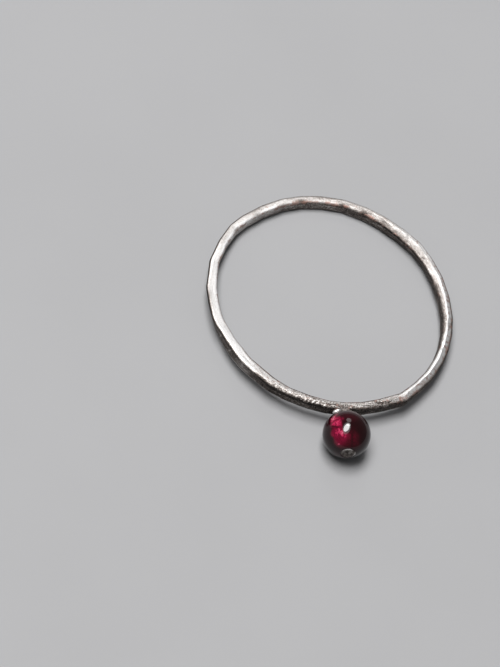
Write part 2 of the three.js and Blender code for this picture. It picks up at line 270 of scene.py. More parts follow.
PATCHES = (
    Patch(5, 0.5, 20, 0.8, 0.15),
    Patch(8, 0.32, 24, 0.14, 0.14),
    Patch(10, 0.08, 22, 0.06, -0.14),
    Patch(15, 0.86, 10, 0.12, 0.2),
    Patch(22, 0.6, 10, 0.3, 0.14),
    Patch(42, 0.62, 9, 0.3, -0.12),
    Patch(56, 0.4, 14, 0.26, -0.26),
    Patch(68, 0.62, 20, 0.22, -0.3),
    Patch(80, 0.18, 12, 0.14, 0.08),
    Patch(84, 0.98, 34, 0.16, 0.6),
    Patch(86, 0.14, 12, 0.14, 0.22),
    Patch(86, 0.18, 10, 0.1, 0.1),
    Patch(94, 0.42, 16, 0.12, 0.13),
    Patch(94, 0.66, 20, 0.12, -0.3),
    Patch(101, 0.2, 8, 0.16, -0.16),
    Patch(103, 0.15, 4, 0.2, 0.1),
    Patch(110, 0.2, 7, 0.12, 0.1),
    Patch(115, 0.0, 42, 0.16, 0.2),
    Patch(125, 0.82, 18, 0.12, -0.28),
    Patch(128, 0.18, 20, 0.16, 0.24),
    Patch(140, 0.0, 10, 0.1, 0.18),
    Patch(156, 0.06, 2, 0.12, 0.3),
    Patch(162, 0.34, 34, 0.24, 0.14),
    Patch(167, 0.06, 1.6, 0.12, 0.3),
    Patch(168, 0.45, 30, 0.4, 0.08),
    Patch(170, 0.75, 12, 0.2, 0.06),
    Patch(172, 3.6, 22, 0.5, -0.14),
    Patch(182, 0.26, 10, 0.2, 0.1),
    Patch(188, 0.08, 3, 0.12, 0.35),
    Patch(190, 0.92, 32, 0.2, 0.16),
    Patch(200, 0.06, 3, 0.12, 0.35),
    Patch(200, 0.3, 8, 0.24, 0.06),
    Patch(205, 0.36, 26, 0.24, 0.14),
    Patch(215, 0.06, 3, 0.12, 0.3),
    Patch(225, 3.7, 30, 0.5, -0.3),
    Patch(226, 0.46, 10, 0.16, 0.12),
    Patch(229, 0.04, 2.4, 0.12, 0.35),
    Patch(240, 0.0, 34, 0.24, -0.26),
    Patch(245, 0.5, 22, 0.2, 0.06),
    Patch(250, 0.04, 3, 0.1, 0.35),
    Patch(256, 0.62, 14, 0.2, 0.12),
    Patch(258, 0.97, 20, 0.07, 0.4),
    Patch(260, 0.15, 18, 0.18, 0.14),
    Patch(290, 0.9, 34, 0.2, 0.24),
    Patch(300, 0.55, 24, 0.4, -0.16),
    Patch(300, 1.96, 18, 0.08, -0.3),
    Patch(310, 1.5, 3, 0.4, -0.2),
    Patch(318, 0.02, 10, 0.1, 0.35),
    Patch(338, 0.68, 14, 0.24, 0.22),
    Patch(340, 0.5, 18, 0.8, 0.12),
    Patch(352, 0.0, 34, 0.08, 0.45),
)


class BeadView(Enum):
    """Planes across a direction in which light shows in the stone: right, up and out of each."""

    FRONT = ((0.963, -0.081, 0.259), (-0.057, 0.873, 0.485), (-0.265, -0.481, 0.836))
    BACK = ((-0.92, 0.1, 0.38), (0.36, 0.08, 0.93), (0.06, 0.99, -0.11))


class InnerLight(NamedTuple):
    """An oval of light inside the stone: place, half sizes, turn in degrees, edge sharpness, amount."""

    view: BeadView
    right: float
    up: float
    wide: float
    tall: float
    turn: float
    edge: float
    amount: float


class Vein(NamedTuple):
    """A thin dark fracture between two places of a plane, with its width and depth."""

    view: BeadView
    start: Pair
    end: Pair
    width: float
    depth: float


GLOWS = (
    InnerLight(BeadView.FRONT, -0.42, 0.56, 0.2, 0.22, 10, 1.5, 0.75),
    InnerLight(BeadView.FRONT, -0.46, 0.08, 0.16, 0.28, 12, 1.4, 0.5),
    InnerLight(BeadView.FRONT, -0.27, 0.1, 0.12, 0.26, 20, 1.2, 0.75),
    # A painted reflection rather than light inside: the thin pink crescent at the upper-left rim stands for
    # the bright solder and band mirrored in the stone.
    InnerLight(BeadView.FRONT, -0.52, 0.7, 0.035, 0.18, -38, 1.2, 1.0),
    InnerLight(BeadView.FRONT, -0.03, -0.03, 0.13, 0.22, 25, 1.4, 0.2),
    InnerLight(BeadView.FRONT, -0.15, -0.06, 0.05, 0.17, 20, 1.3, 0.6),
    InnerLight(BeadView.FRONT, -0.28, -0.3, 0.2, 0.22, 30, 1.0, 0.35),
    InnerLight(BeadView.FRONT, -0.38, 0.25, 0.03, 0.03, 0, 1.0, 0.6),
    InnerLight(BeadView.FRONT, -0.28, -0.32, 0.035, 0.02, 20, 1.0, 0.8),
    InnerLight(BeadView.BACK, 0.3, -0.1, 0.3, 0.34, -20, 1.5, 0.8),
    InnerLight(BeadView.BACK, -0.35, -0.3, 0.16, 0.3, 15, 1.5, 0.5),
)

DUSKS = (
    InnerLight(BeadView.FRONT, 0.06, -0.2, 0.34, 0.4, 0, 1.4, 0.75),
    InnerLight(BeadView.FRONT, 0.36, -0.14, 0.16, 0.4, 8, 1.6, 0.28),
    InnerLight(BeadView.FRONT, 0.08, 0.75, 0.46, 0.16, 0, 1.5, 0.24),
    InnerLight(BeadView.FRONT, -0.42, -0.84, 0.3, 0.08, -20, 1.5, 0.3),
    InnerLight(BeadView.BACK, 0.0, -0.1, 0.8, 0.6, 0, 1.2, 0.6),
)

VEINS = (
    Vein(BeadView.FRONT, (-0.6, 0.35), (-0.18, 0.36), 0.016, 0.75),
    Vein(BeadView.FRONT, (-0.22, 0.72), (-0.1, 0.2), 0.03, 0.7),
    Vein(BeadView.FRONT, (-0.42, 0.32), (-0.3, -0.15), 0.02, 0.4),
    Vein(BeadView.FRONT, (0.22, 0.1), (0.2, -0.6), 0.03, 0.6),
    Vein(BeadView.BACK, (-0.1, 0.5), (0.35, -0.5), 0.02, 0.6),
)


def soften_circle(values: np.ndarray, spread: float, axis: int) -> np.ndarray:
    """Smooths along an axis that closes on itself.

    Each frequency f of the values is scaled by exp(-2 (pi spread f)^2), the transform of a bell curve.

    Args:
        values: the numbers, evenly spaced round the closed axis.
        spread: the bell curve's standard deviation, in steps of the axis.
        axis: which axis to smooth.

    Returns:
        The smoothed numbers, of the same shape.
    """
    count = values.shape[axis]
    frequency = np.fft.rfftfreq(count)
    keep = np.exp(-2 * (np.pi * spread * frequency) ** 2)
    shape = [1] * values.ndim
    shape[axis] = keep.size
    return np.fft.irfft(np.fft.rfft(values, axis=axis) * keep.reshape(shape), n=count, axis=axis)


def soften(values: np.ndarray, spread: Pair) -> np.ndarray:
    """Smooths a grid that closes both ways, by a spread along its rows' axis and one along its columns'."""
    return soften_circle(soften_circle(values, spread[0], 0), spread[1], 1)


def lumps(shape: tuple[int, int], spread: Pair, rng: Random) -> np.ndarray:
    """Uneven metal: even noise smoothed round both axes and scaled to a standard deviation of 1.

    Args:
        shape: rows and columns of the grid.
        spread: smoothing along the rows' axis and the columns' axis, in steps.
        rng: the seeded generator.

    Returns:
        A height for every grid point.
    """
    soft = soften(rng.standard_normal(shape), spread)
    return soft / soft.std()


def unit(vectors: np.ndarray) -> np.ndarray:
    """Vectors scaled to a length of 1 along their last axis."""
    return vectors / np.linalg.norm(vectors, axis=-1, keepdims=True)


def full_turn(count: int) -> np.ndarray:
    """Evenly spaced angles once round a circle, in radians."""
    return np.arange(count) * 2 * np.pi / count


def degrees_from(at: float, angles: np.ndarray) -> np.ndarray:
    """Degrees from a place to each angle, the short way round."""
    return (angles - at + 180) % 360 - 180


def along_stops(values: np.ndarray, stops: tuple[Pair, ...]) -> np.ndarray:
    """Amounts on the straight lines between stops, each of which is a place and the amount there."""
    return np.interp(values, *np.array(stops).T)


def ripples(turn: np.ndarray, counts: range, rng: Random) -> np.ndarray:
    """Uneven waves round a circle: sin(k turn + a random angle) / k, summed over the wave counts k."""
    return sum(np.sin(k * turn + rng.uniform(0, 2 * np.pi)) / k for k in counts)


def on_ring(at: np.ndarray, radius: np.ndarray, height: np.ndarray) -> np.ndarray:
    """Points at degrees from the bead: (radius sin(at), -radius cos(at), height)."""
    turn = np.radians(at)
    return np.stack(np.broadcast_arrays(radius * np.sin(turn), -radius * np.cos(turn), height), axis=-1)


def grid_normals(points: np.ndarray) -> np.ndarray:
    """Outward normals of a grid that closes both ways: the cross product of the central differences."""
    along = np.roll(points, -1, 0) - np.roll(points, 1, 0)
    around = np.roll(points, -1, 1) - np.roll(points, 1, 1)
    return unit(np.cross(around, along))


def bell(distance: np.ndarray) -> np.ndarray:
    """The bell curve exp(-distance^2 / 2)."""
    return np.exp(-0.5 * distance**2)


def step_between(low: float, high: float, values: np.ndarray) -> np.ndarray:
    """A soft step from 0 at low to 1 at high: t^2 (3 - 2t)."""
    t = np.clip((values - low) / (high - low), 0, 1)
    return t * t * (3 - 2 * t)


def add_object(name: str, data: bpy.types.ID) -> bpy.types.Object:
    """A new object of the scene that shows a mesh, a light or a camera."""
    made = bpy.data.objects.new(name, data)
    bpy.context.scene.collection.objects.link(made)
    return made


@dataclass(frozen=True)
class RestPose:
    """How the ring lies: turned by -tilt about x, then moved."""

    tilt: float
    shift: np.ndarray

    def place(self, points: np.ndarray) -> np.ndarray:
        """Points of the band's plane as they lie: y' = y cos + z sin, z' = z cos - y sin, then the shift."""
        x, y, z = np.moveaxis(points, -1, 0)
        turned = (x, y * math.cos(self.tilt) + z * math.sin(self.tilt),
                  z * math.cos(self.tilt) - y * math.sin(self.tilt))
        return np.stack(turned, axis=-1) + self.shift


class Surface:
    """A grid of points that becomes one mesh object."""

    def __init__(
        self, name: str, points: np.ndarray, closed_rows: bool = False, **traits: np.ndarray | float
    ) -> None:
        """Keeps the grid; its columns always close round.

        Args:
            name: the piece's name.
            points: rows x columns x 3, in millimetres as they lie.
            closed_rows: whether the last row meets the first. Otherwise both end rows are poles.
            traits: what the materials read by name: a number or a vector for every point, or one number.
        """
        self.name = name
        self.points = points
        self.closed_rows = closed_rows
        self.traits = traits

    def faces(self) -> np.ndarray:
        """Corner numbers of the four-sided faces between neighbouring rows and columns."""
        rows, columns = self.points.shape[:2]
        number = np.arange(rows * columns).reshape(rows, columns)
        below = number if self.closed_rows else number[:-1]
        above = np.roll(number, -1, 0) if self.closed_rows else number[1:]
        corners = (below, above, np.roll(above, -1, 1), np.roll(below, -1, 1))
        return np.stack(corners, axis=-1).reshape(-1, 4)

    def chart(self) -> np.ndarray:
        """A place on the unit square for every face corner: the row's and column's share of the grid."""
        rows, columns = self.points.shape[:2]
        bands = rows if self.closed_rows else rows - 1
        row, column = np.meshgrid(np.arange(bands), np.arange(columns), indexing="ij")
        u = np.stack((row, row + 1, row + 1, row), axis=-1) / bands
        v = np.stack((column, column, column + 1, column + 1), axis=-1) / columns
        return np.stack((u, v), axis=-1)

    def build(self) -> bpy.types.Object:
        """Makes the mesh object: metres, smooth, poles closed, faces outward.

        Returns:
            The new object, linked to the scene.
        """
        mesh = bpy.data.meshes.new(self.name)
        mesh.from_pydata((self.points.reshape(-1, 3) * MM).tolist(), [], self.faces().tolist())
        chart = mesh.uv_layers.new(name="chart")
        chart.data.foreach_set("uv", self.chart().astype(np.float32).ravel())
        for name, values in self.traits.items():
            vector = np.ndim(values) == self.points.ndim
            kind, key = ("FLOAT_VECTOR", "vector") if vector else ("FLOAT", "value")
            each = np.broadcast_to(values, self.points.shape if vector else self.points.shape[:2])
            layer = mesh.attributes.new(name, kind, "POINT")
            layer.data.foreach_set(key, each.astype(np.float32).ravel())
        self._close(mesh)
        return add_object(self.name, mesh)

    def _close(self, mesh: bpy.types.Mesh) -> None:
        """Merges the poles' doubled points and turns every face outward."""
        work = bmesh.new()
        work.from_mesh(mesh)
        if not self.closed_rows:
            bmesh.ops.remove_doubles(work, verts=work.verts, dist=POLE_GAP)
        bmesh.ops.recalc_face_normals(work, faces=work.faces)
        work.to_mesh(mesh)
        work.free()
        mesh.polygons.foreach_set("use_smooth", np.ones(len(mesh.polygons), dtype=bool))
        mesh.update()


class Pattern(NamedTuple):
    """A noise: its scale, its octaves, how rough they are, its weight in a sum and how warped it is."""

    scale: float
    octaves: float
    rough: float
    weight: float = 1.0
    warp: float = 0.0


class Reach(NamedTuple):
    """Values from low to high, which turn smoothly into values from start to end."""

    low: float
    high: float
    start: float = 0.0
    end: float = 1.0


class NodeBench:
    """Lays out one node material."""

    # The mix node's sockets for colours; its sockets for numbers and vectors have the same names.
    COLOUR_INPUTS = slice(6, 8)
    COLOUR_OUTPUT = 2

    def __init__(self, name: str) -> None:
        """Starts an empty material with its surface shader."""
        self.material = bpy.data.materials.new(name)
        self.material.use_nodes = True
        self.tree = self.material.node_tree
        self.tree.nodes.clear()
        self.shader = self.node("ShaderNodeBsdfPrincipled")
        output = self.node("ShaderNodeOutputMaterial")
        self.join(self.shader.outputs["BSDF"], output.inputs["Surface"])

    def node(self, kind: str, **settings: object) -> bpy.types.Node:
        """Adds a node and sets its options."""
        made = self.tree.nodes.new(kind)
        for key, value in settings.items():
            setattr(made, key, value)
        return made

    def join(self, start: Socket, end: Socket) -> None:
        """Links two sockets."""
        self.tree.links.new(start, end)

    def feed(self, value: Socket | float | tuple, end: Socket) -> None:
        """Links a socket, or sets a plain number or colour."""
        if isinstance(value, Socket):
            self.join(value, end)
        else:
            end.default_value = (*value, 1.0) if isinstance(value, tuple) else value

    def calc(self, kind: str, *values: Socket | float, clamp: bool = False) -> Socket:
        """One step of arithmetic, such as ADD or MULTIPLY.

        Args:
            kind: the Math node's operation.
            values: its inputs, as sockets or numbers.
            clamp: whether the result is kept between 0 and 1.

        Returns:
            The result's socket.
        """
        made = self.node("ShaderNodeMath", operation=kind, use_clamp=clamp)
        for value, end in zip(values, made.inputs):
            self.feed(value, end)
        return made.outputs[0]

    def sway(self, pattern: Socket, weight: float) -> Socket:
        """How far a pattern swings from its middle, weighted: (pattern - 1/2) weight."""
        return self.calc("MULTIPLY", self.calc("SUBTRACT", pattern, 0.5), weight)

    def spread(self, value: Socket, reach: Reach) -> Socket:
        """Maps low..high of a reach smoothly to its start..end."""
        made = self.node("ShaderNodeMapRange", interpolation_type="SMOOTHSTEP")
        self.join(value, made.inputs["Value"])
        for key, number in zip(("From Min", "From Max", "To Min", "To Max"), reach):
            made.inputs[key].default_value = number
        return made.outputs["Result"]

    def noise(self, place: Socket, pattern: Pattern) -> Socket:
        """Cloudy noise between about 0 and 1 at a place."""
        made = self.node("ShaderNodeTexNoise")
        self.join(place, made.inputs["Vector"])
        made.inputs["Scale"].default_value = pattern.scale
        made.inputs["Detail"].default_value = pattern.octaves
        made.inputs["Roughness"].default_value = pattern.rough
        made.inputs["Distortion"].default_value = pattern.warp
        return made.outputs[0]

    def trait(self, name: str, output: str = "Fac") -> Socket:
        """A value that the mesh carries."""
        return self.node("ShaderNodeAttribute", attribute_name=name).outputs[output]

    def place(self) -> Socket:
        """The object's own coordinates in metres."""
        return self.node("ShaderNodeTexCoord").outputs["Object"]

    def ramp(self, value: Socket, positions: tuple[float, ...], colours: tuple[tuple, ...]) -> Socket:
        """Turns a value into a colour: each position has its colour, and they blend in between."""
        made = self.node("ShaderNodeValToRGB")
        self.join(value, made.inputs["Fac"])
        while len(made.color_ramp.elements) < len(positions):
            made.color_ramp.elements.new(0.5)
        for element, position, colour in zip(made.color_ramp.elements, positions, colours):
            element.position = position
            element.color = (*colour, 1.0)
        return made.outputs["Color"]

    def mix(self, share: Socket, first: Socket | tuple, second: Socket | tuple) -> Socket:
        """Blends two colours by a share."""
        made = self.node("ShaderNodeMix", data_type="RGBA")
        self.join(share, made.inputs["Factor"])
        for value, end in zip((first, second), made.inputs[self.COLOUR_INPUTS]):
            self.feed(value, end)
        return made.outputs[self.COLOUR_OUTPUT]

    def relief(self, height: Socket, depth: float, strength: float, below: Socket | None = None) -> Socket:
        """Raises the surface by a height of a depth in mm, on top of another relief."""
        made = self.node("ShaderNodeBump")
        made.inputs["Strength"].default_value = strength
        made.inputs["Distance"].default_value = depth * MM
        self.join(height, made.inputs["Height"])
        if below is not None:
            self.join(below, made.inputs["Normal"])
        return made.outputs["Normal"]


@dataclass(frozen=True)
class SilverFinish:
    """Brushed sterling silver, dark with oxide and painted shade in its recesses and on its side walls."""

    name: str = "brushed_oxidised_silver"
    polished: Triple = (0.68, 0.672, 0.668)
    satin: Triple = (0.57, 0.556, 0.547)
    smoked: Triple = (0.37, 0.348, 0.333)
    brown: Triple = (0.125, 0.107, 0.097)
    black: Triple = (0.018, 0.016, 0.015)
    rust: Triple = (0.28, 0.172, 0.143)
    tones: tuple[float, ...] = (0.0, 0.18, 0.42, 0.68, 1.0)
    roughness: Reach = Reach(0.0, 0.8, 0.54, 0.68)
    scratch_gloss: float = 0.2
    streaks: Pattern = Pattern(4.0, 4, 0.62, 0.8)
    scratches: Pattern = Pattern(10.0, 3, 0.65, 0.8)
    scratch_shortening: float = 4.0
    scratch_relief: float = 0.5
    mottle: Pattern = Pattern(PER_MM / 0.9, 3, 0.6, 0.2)
    grain: Pattern = Pattern(PER_MM / 0.09, 2, 0.6, 1.2)
    grain_relief: float = 0.6
    relief_depth: float = 0.02
    pits: Pattern = Pattern(PER_MM / 0.18, 3, 0.7)
    pit_tone: Reach = Reach(0.56, 0.7, 0.0, 0.2)
    stains: Pattern = Pattern(PER_MM / 0.4, 4, 0.7)
    stain_cover: Reach = Reach(0.6, 0.72, 0.0, 0.75)
    stain_growth: float = 0.05

    def material(self) -> bpy.types.Material:
        """Builds the material.

        tone = carried tone + (streaks + scratches + mottle + grain + pits) grit picks the colour from
        polished to black, and the roughness rises with it; the carried tone is oxide together with painted
        light and shade. Streaks and scratches follow the wire, because they read its carried grain vector.
        Reddish
        stains lie over the tones: they are stronger and reach further where the wire carries more rust.

        Returns:
            The node material.
        """
        bench = NodeBench(self.name)
        along = bench.trait("grain", "Vector")
        place = bench.place()
        shorter = bench.node("ShaderNodeMapping")
        bench.join(along, shorter.inputs["Vector"])
        shorter.inputs["Scale"].default_value = (self.scratch_shortening, self.scratch_shortening, 1.0)
        patterns = (self.streaks, self.scratches, self.mottle, self.grain)
        places = (along, shorter.outputs["Vector"], place, place)
        noises = [bench.noise(where, pattern) for where, pattern in zip(places, patterns)]
        rough = bench.spread(bench.noise(place, self.pits), self.pit_tone)
        for noise, pattern in zip(noises, patterns):
            rough = bench.calc("ADD", rough, bench.sway(noise, pattern.weight))
        rough = bench.calc("MULTIPLY", rough, bench.trait("grit"))
        tone = bench.calc("ADD", bench.trait("tarnish_and_painted_light"), rough, clamp=True)
        colours = (self.polished, self.satin, self.smoked, self.brown, self.black)
        rust = bench.trait("rust")
        growth = bench.calc("MULTIPLY", rust, self.stain_growth)
        stains = bench.spread(bench.calc("ADD", bench.noise(place, self.stains), growth), self.stain_cover)
        stains = bench.calc("MULTIPLY", stains, bench.calc("MINIMUM", rust, 1.0))
        stained = bench.mix(stains, bench.ramp(tone, self.tones, colours), self.rust)
        bench.join(stained, bench.shader.inputs["Base Color"])
        streaks, scratches, _, grain = noises
        uneven = bench.sway(scratches, self.scratch_gloss)
        gloss = bench.calc("ADD", bench.spread(tone, self.roughness), uneven)
        bench.join(gloss, bench.shader.inputs["Roughness"])
        bench.shader.inputs["Metallic"].default_value = 1.0
        relief = None
        strengths = (self.scratch_relief, self.scratch_relief, self.grain_relief)
        for noise, strength in zip((streaks, scratches, grain), strengths):
            relief = bench.relief(noise, self.relief_depth, strength, relief)
        bench.join(relief, bench.shader.inputs["Normal"])
        return bench.material


@dataclass(frozen=True)
class GarnetFinish:
    """A polished garnet: nearly black, with a crimson glow where light crosses it, and fine fractures."""

    centre: Triple
    radius: float
    name: str = "polished_garnet"
    night: Triple = (0.006, 0.0002, 0.0006)
    wine: Triple = (0.05, 0.0008, 0.006)
    crimson: Triple = (0.1, 0.0012, 0.014)
    rose: Triple = (0.26, 0.011, 0.045)
    pink: Triple = (0.34, 0.09, 0.13)
    depths: tuple[float, ...] = (0.0, 0.45, 0.75, 1.0)
    wisps: Pattern = Pattern(5.0, 5, 0.62, warp=1.4)
    specks: Pattern = Pattern(16.0, 3, 0.6)
    wisp_glow: Reach = Reach(0.3, 0.68, 0.35, 1.1)
    speck_dusk: Reach = Reach(0.3, 0.7, 0.4, 1.0)
    glow_cover: Reach = Reach(0.0, 0.5)
    wisp_cover: Reach = Reach(0.3, 0.6, 0.55, 1.0)
    ripple_depth: float = 0.02
    ripple_relief: float = 0.06
    gloss: float = 0.06
    refraction: float = 1.4

    def material(self) -> bpy.types.Material:
        """Builds the material.

        The object's coordinates are centred on the bead and divided by its radius. The stone's carried
        glow and dusk say how much light comes out; wisps and specks of noise break them up. The body
        goes from night to wine by the dusk, and where there is glow it is covered by the colours from
        crimson to pink.

        Returns:
            The node material.
        """
        bench = NodeBench(self.name)
        centred = bench.node("ShaderNodeMapping")
        bench.join(bench.place(), centred.inputs["Vector"])
        size = PER_MM / self.radius
        centred.inputs["Scale"].default_value = (size, size, size)
        centred.inputs["Location"].default_value = tuple(-c / self.radius for c in self.centre)
        place = centred.outputs["Vector"]
        wisps = bench.noise(place, self.wisps)
        specks = bench.noise(place, self.specks)
        glow, dusk = bench.trait("glow"), bench.trait("dusk")
        lively = bench.calc("MULTIPLY", glow, bench.spread(wisps, self.wisp_glow), clamp=True)
        dusk = bench.calc("MULTIPLY", dusk, bench.spread(specks, self.speck_dusk), clamp=True)
        body = bench.mix(dusk, self.night, self.wine)
        colours = (self.crimson, self.crimson, self.rose, self.pink)
        cover = bench.spread(wisps, self.wisp_cover)
        cover = bench.calc("MULTIPLY", bench.spread(glow, self.glow_cover), cover)
        body = bench.mix(cover, body, bench.ramp(lively, self.depths, colours))
        bench.join(body, bench.shader.inputs["Base Color"])
        bench.shader.inputs["Roughness"].default_value = self.gloss
        bench.shader.inputs["IOR"].default_value = self.refraction
        bench.join(bench.relief(wisps, self.ripple_depth, self.ripple_relief), bench.shader.inputs["Normal"])
        return bench.material


@dataclass(frozen=True)
class FloorFinish:
    """A plain pale matt floor."""

    name: str = "pale_floor"
    pale: Triple = (0.19, 0.19, 0.193)
    shade: Triple = (0.185, 0.185, 0.188)
    cloud: Pattern = Pattern(60.0, 3, 0.5)
    cloud_share: Reach = Reach(0.3, 0.7)
    matt: float = 0.85

    def material(self) -> bpy.types.Material:
        """Builds the material: two near tones clouded together."""
        bench = NodeBench(self.name)
        share = bench.spread(bench.noise(bench.place(), self.cloud), self.cloud_share)
        bench.join(bench.mix(share, self.pale, self.shade), bench.shader.inputs["Base Color"])
        bench.shader.inputs["Roughness"].default_value = self.matt
        return bench.material


@dataclass
class HammeredWire:
    """The band: wire bent round a mandrel, soldered shut and hammered.

    Every spread is in grid steps along and round the wire, crisp_at and crisp_spread are in degrees, and
    outer_half is in places round the section, like the widths of the tables.
    """

    hole_diameter: float = 18.14
    thickness: float = 0.86
    height: float = 1.02
    outer_edge: float = 0.14
    inner_edge: float = 0.2
    crisp_at: float = 280.0
    crisp_spread: float = 32.0
    crisp_share: float = 0.55
    inner_fall: float = 0.07
    flattening: float = 0.3
    wall_bulge: float = 0.01
    stations: int = 1080
    softness: Pair = (2.4, 2.1)
    planishing_depth: float = 0.006
    planishing_count: int = 420
    planishing_spread: Pair = (5.0, 4.0)
    strike_strength: Pair = (0.3, 1.0)
    facing_fade: Pair = (0.2, 0.8)
    lump_height: float = 0.003
    lump_spread: Pair = (9.0, 6.0)
    uneven_tone: float = 0.05
    uneven_spread: Pair = (14.0, 5.0)
    streak_stretch: float = 14.0
    outer_half: Pair = (0.35, 0.65)
    edge_rust_width: float = 0.08

    # The outline's stretches and their numbers of points: the finger's upper edge, the top to its crown and
    # beyond it, the outer upper edge, the outer wall, its lower edge, the underside, the finger's lower
    # edge and the inner wall. PLACES says where each begins, and last where the inner wall ends.
    STRETCHES = (7, 9, 15, 8, 12, 6, 10, 6, 11)
    PLACES = (-0.12, 0.12, 0.5, 0.9, 1.12, 1.9, 2.1, 2.9, 3.1, 3.88)

    # The tone at places round the section before patches, dark on the walls and underside with oxide and
    # painted shade, bright on the top; and how far a place belongs to the walls.
    TONES = ((-0.12, 0.74), (0.0, 0.42), (0.12, 0.2), (0.85, 0.24), (1.0, 0.5), (1.12, 0.76),
             (1.9, 0.76), (2.1, 0.5), (2.9, 0.5), (3.1, 0.78), (3.5, 0.84), (3.88, 0.74))
    WALLS = ((-0.12, 1.0), (0.06, 0.0), (0.9, 0.0), (1.1, 1.0), (3.88, 1.0))

    def sizes(self) -> dict[str, np.ndarray]:
        """The sections' sizes in millimetres, each an array with one entry a section.

        Wire that is hammered wider gets lower: half = height / 2 thick^-flattening. The inner upper edge
        is crisper round crisp_at.
        """
        rows = Section(*np.array(SECTIONS, dtype=float).T)
        inner = self.hole_diameter / 2 + rows.inner * self.thickness
        thick = rows.thick * self.thickness
        half = self.height / 2 * rows.thick**-self.flattening
        top = rows.rise * self.height + half
        crisp = self.crisp_share * bell((rows.at - self.crisp_at) / self.crisp_spread)
        return {
            "at": rows.at,
            "inner": inner,
            "outer": inner + thick,
            "crown_at": inner + rows.crown * thick,
            "top": top,
            "outer_top": top - rows.fall * self.height,
            "inner_top": top - self.inner_fall,
            "bottom": rows.rise * self.height - half,
            "inner_edge": self.inner_edge * (1 - crisp),
            "inner_foot": inner + rows.inner_lean * self.thickness,
            "outer_foot": inner + thick - rows.outer_lean * self.thickness,
        }

    def outlines(self) -> np.ndarray:
        """Every section's outline as points outwards and up.

        Each stretch is a curve (1-t)^2 a + 2t(1-t) b + t^2 c: edges bend round their corner b, and walls
        have b half way, which makes them straight.

        Returns:
            sections x points x 2.
        """
        s = self.sizes()

        def on_top(x: np.ndarray, end: str, height: str) -> np.ndarray:
            """Points at x on the straight line from the crown to a height at an end."""
            share = (x - s["crown_at"]) / (s[end] - s["crown_at"])
            return np.stack((x, s["top"] + share * (s[height] - s["top"])), axis=-1)

        def on_wall(y: np.ndarray, end: str, foot: str, height: str) -> np.ndarray:
            """Points at y on the straight line down a wall from a height at its end to its foot."""
            share = (y - s[height]) / (s["bottom"] - s[height])
            return np.stack((s[end] + share * (s[foot] - s[end]), y), axis=-1)

        def spot(x: str, y: str) -> np.ndarray:
            """Points at a named place and a named height."""
            return np.stack((s[x], s[y]), axis=-1)

        edges = (
            (on_wall(s["inner_top"] - s["inner_edge"], "inner", "inner_foot", "inner_top"),
             spot("inner", "inner_top"),
             on_top(s["inner"] + s["inner_edge"], "inner", "inner_top")),
            (on_top(s["outer"] - self.outer_edge, "outer", "outer_top"),
             spot("outer", "outer_top"),
             on_wall(s["outer_top"] - self.outer_edge, "outer", "outer_foot", "outer_top")),
            (on_wall(s["bottom"] + self.outer_edge, "outer", "outer_foot", "outer_top"),
             spot("outer_foot", "bottom"),
             np.stack((s["outer_foot"] - self.outer_edge, s["bottom"]), axis=-1)),
            (np.stack((s["inner_foot"] + self.inner_edge, s["bottom"]), axis=-1),
             spot("inner_foot", "bottom"),
             on_wall(s["bottom"] + self.inner_edge, "inner", "inner_foot", "inner_top")),
        )
        crown = spot("crown_at", "top")
        walls = ((edges[0][2], crown), (crown, edges[1][0]), (edges[1][2], edges[2][0]),
                 (edges[2][2], edges[3][0]), (edges[3][2], edges[0][0]))
        straight = [(a, (a + c) / 2, c) for a, c in walls]
        stretches = (edges[0], straight[0], straight[1], edges[1], straight[2], edges[2], straight[3],
                     edges[3], straight[4])
        drawn = []
        for (a, b, c), count in zip(stretches, self.STRETCHES):
            t = (np.arange(count) / count)[None, :, None]
            drawn.append((1 - t) ** 2 * a[:, None] + 2 * t * (1 - t) * b[:, None] + t**2 * c[:, None])
        return np.concatenate(drawn, axis=1)

    def around(self) -> np.ndarray:
        """Each outline point's place round the section: 0, 1, 2 and 3 are its corners."""
        ends = np.cumsum((0, *self.STRETCHES))
        return np.interp(np.arange(ends[-1]), ends, self.PLACES)

    def station_angles(self) -> np.ndarray:
        """The stations' degrees from the bead."""
        return np.arange(self.stations) * 360 / self.stations

    def chords(self) -> np.ndarray:
        """The wire as flats between its sections.

        Between sections at angles a0 and a1 a station at a lies the share sin(a-a0) / (sin(a-a0) +
        sin(a1-a)) along the straight lines that join their outlines.

        Returns:
            stations x points x 3.
        """
        outlines = self.outlines()
        at = self.sizes()["at"]
        loops = on_ring(at[:, None], outlines[..., 0], outlines[..., 1])
        here = self.station_angles()
        first = np.searchsorted(at, here, side="right") - 1
        second = (first + 1) % len(at)
        ahead = np.sin(np.radians(here - at[first]))
        behind = np.sin(np.radians((at[second] - here) % 360))
        share = (ahead / (ahead + behind))[:, None, None]
        return loops[first] * (1 - share) + loops[second] * share

    def hammered(self, points: np.ndarray, rng: Random) -> np.ndarray:
        """The soft flats with their bulge, planishing marks, lumps, dents and nicks.

        Each point moves along its normal by bulge - planishing - dents + lumps. A planishing mark is a
        bell-shaped hollow at a seeded grid point; a dent is one of MARKS, a bell curve of its length
        and width, turned in its side, and faded out where the surface turns away from that side.

        Args:
            points: stations x points x 3.
            rng: the seeded generator.

        Returns:
            The moved points.
        """
        normals = grid_normals(points)
        around = self.around()
        wall = np.where(np.abs((around + 1) % 2 - 0.5) < 0.5, 1.0, 0.0)
        lift = np.broadcast_to(self.wall_bulge * wall * np.sin(np.pi * (around % 1)), points.shape[:2]).copy()
        strikes = np.zeros(points.shape[:2])
        places = tuple(rng.integers(size, size=self.planishing_count) for size in strikes.shape)
        np.add.at(strikes, places, rng.uniform(*self.strike_strength, self.planishing_count))
        hollows = soften(strikes, self.planishing_spread) * 2 * np.pi * math.prod(self.planishing_spread)
        lift -= self.planishing_depth * hollows
        lift += self.lump_height * lumps(points.shape[:2], self.lump_spread, rng)
        lift -= self.in_marks(points, "depth")
        return points + normals * lift[..., None]

